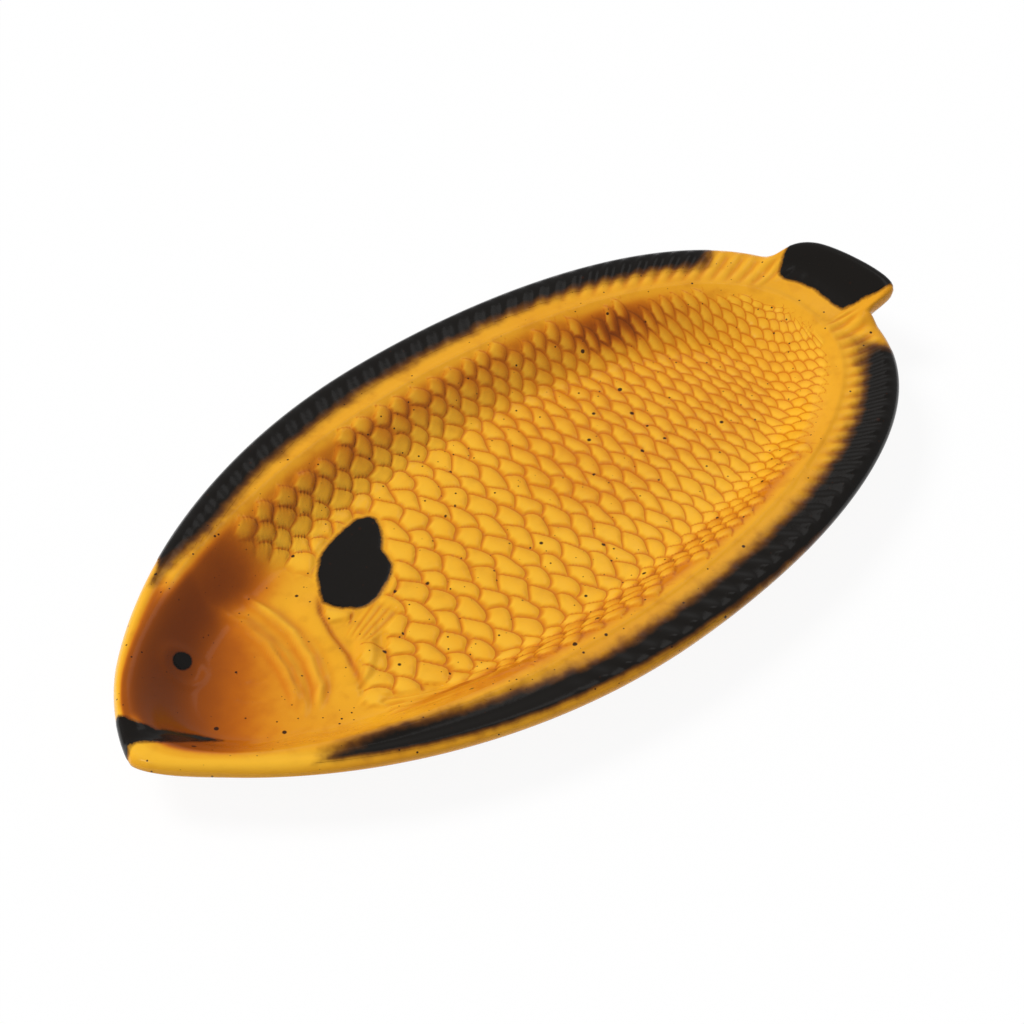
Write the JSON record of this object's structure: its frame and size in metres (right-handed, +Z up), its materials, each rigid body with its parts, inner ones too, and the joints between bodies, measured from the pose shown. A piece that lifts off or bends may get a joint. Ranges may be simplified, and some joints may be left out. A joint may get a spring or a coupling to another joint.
{
  "type": "fish shaped platter",
  "caption": "Fish shaped glazed stoneware serving platter with a shallow well of moulded scales, a fluted fin rim, a raised tail, and dark glaze on the rim, tail, eye, mouth and side fin.",
  "frame": {"origin": "centre of the footprint box, on the table that the foot ring stands on", "axes": "+X from the nose to the tail, +Y from the belly side to the back fin side, +Z up out of the well"},
  "size_m": [0.36, 0.186, 0.0334],
  "materials": {
    "amber_glaze": "glossy amber glaze, thin and pale on the raised edges and pooled brown in the grooves",
    "dark_glaze": "glossy iron black glaze with brown edges"
  },
  "bodies": {
    "root": {"stoneware_body": "amber_glaze", "back_rim_glaze": "dark_glaze", "belly_rim_glaze": "dark_glaze", "tail_glaze": "dark_glaze", "side_fin_glaze": "dark_glaze", "eye_glaze": "dark_glaze", "mouth_glaze": "dark_glaze"}
  },
  "joints": []
}
